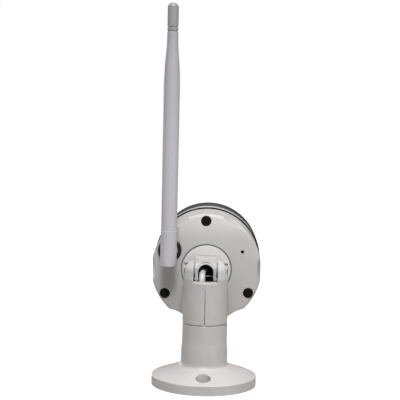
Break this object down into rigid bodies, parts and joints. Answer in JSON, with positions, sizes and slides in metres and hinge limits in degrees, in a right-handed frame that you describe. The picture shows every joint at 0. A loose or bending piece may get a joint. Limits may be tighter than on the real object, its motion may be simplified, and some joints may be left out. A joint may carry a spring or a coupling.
{
  "type": "security camera",
  "caption": "Bullet security camera with a lobed rear housing, dark hood and folding antenna, on a pan, tilt and roll bracket with a round flange.",
  "frame": {"origin": "centre of the mounting flange's underside", "axes": "+Z along the bracket's column away from the mounting surface, +Y the way the lens looks, +X to the right seen from behind"},
  "size_m": [0.0854, 0.1715, 0.2746],
  "materials": {
    "painted_aluminium": "matt light grey paint over die-cast aluminium",
    "dark_paint": "satin dark grey paint over turned aluminium",
    "bare_aluminium": "as extruded",
    "zinc_steel": "zinc plated",
    "stainless": "bright",
    "spring_steel": "blued",
    "brass": "turned",
    "black_rubber": "matt",
    "black_plastic": "matt",
    "nylon": "natural nylon",
    "antenna_plastic": "matt light grey, faintly lilac",
    "tip_plastic": "satin grey",
    "white_cable": "satin white jacket",
    "black_cable": "satin black jacket",
    "clear_glass": "polished",
    "filter_glass": "coated",
    "led_epoxy": "dark tinted epoxy",
    "circuit_board": "solder mask",
    "chip_epoxy": "moulded epoxy",
    "shield_tin": "tin plated"
  },
  "bodies": {
    "base": {"base_flange": "painted_aluminium", "flange_gasket": "black_rubber", "pan_friction_ring": "nylon", "lock_screw": "spring_steel"},
    "arm": {"fork_arm": "painted_aluminium", "pan_circlip": "spring_steel", "pan_washer": "nylon", "lead": "white_cable", "lead_plug": "black_plastic"},
    "knuckle": {"swivel_knuckle": "painted_aluminium", "pivot_washers": "nylon", "pivot_screws": "stainless", "roll_seal": "black_rubber", "roll_retainer": "zinc_steel", "retainer_screws": "zinc_steel"},
    "filter": {"filter_frame": "black_plastic", "filter_glasses": "filter_glass"},
    "elbow": {"antenna_elbow": "antenna_plastic"},
    "antenna": {"antenna_base": "antenna_plastic", "antenna_pin": "stainless", "antenna_whip": "antenna_plastic", "antenna_tip": "tip_plastic", "antenna_element": "brass"},
    "head": {"rear_housing": "painted_aluminium", "housing_plugs": "black_rubber", "housing_screws": "stainless", "seam_gasket": "black_rubber", "front_band": "painted_aluminium", "front_hood": "dark_paint", "front_bezel": "dark_paint", "glass_gasket": "black_rubber", "front_glass": "clear_glass", "glass_retainer": "black_plastic", "inner_frame": "black_plastic", "ir_board": "circuit_board", "ir_board_screws": "zinc_steel", "ir_leds": "led_epoxy", "light_baffle": "black_rubber", "lens_barrel": "black_plastic", "lens_glass": "clear_glass", "lens_holder": "black_plastic", "filter_coil": "brass", "sensor_board": "circuit_board", "sensor_board_screws": "zinc_steel", "image_sensor": "chip_epoxy", "board_bracket": "bare_aluminium", "bracket_screws": "zinc_steel", "board_standoffs": "brass", "board_screws": "zinc_steel", "main_board": "circuit_board", "chip_heat_sink": "bare_aluminium", "wifi_module": "shield_tin", "card_socket": "shield_tin", "lead_socket": "nylon", "lead_inner": "white_cable", "microphone": "bare_aluminium", "antenna_jack": "brass", "jack_nut": "brass", "antenna_ring": "black_rubber", "coax_lead": "black_cable"}
  },
  "joints": [
    {"name": "pan", "type": "hinge", "parent": "base", "child": "arm", "pos_m": [0, 0, 0.0448], "axis": [0, 0, 1], "range_deg": [-170, 170]},
    {"name": "tilt", "type": "hinge", "parent": "arm", "child": "knuckle", "pos_m": [0, 0, 0.0829], "axis": [1, 0, 0], "range_deg": [-6, 60], "deforming": ["lead"]},
    {"name": "roll", "type": "hinge", "parent": "knuckle", "child": "head", "pos_m": [0, 0.026, 0.0804], "axis": [0, 1, 0], "range_deg": [-30, 90]},
    {"name": "antenna_swivel", "type": "hinge", "parent": "head", "child": "elbow", "pos_m": [-0.0276, 0.0198, 0.0942], "axis": [0, 1, 0], "range_deg": [-90, 45]},
    {"name": "antenna_fold", "type": "hinge", "parent": "elbow", "child": "antenna", "pos_m": [-0.0276, 0.006, 0.0942], "axis": [1, 0, 0], "range_deg": [0, 90]},
    {"name": "day_night_filter", "type": "slide", "parent": "head", "child": "filter", "axis": [1, 0, 0], "range_m": [0, 0.0065]}
  ]
}
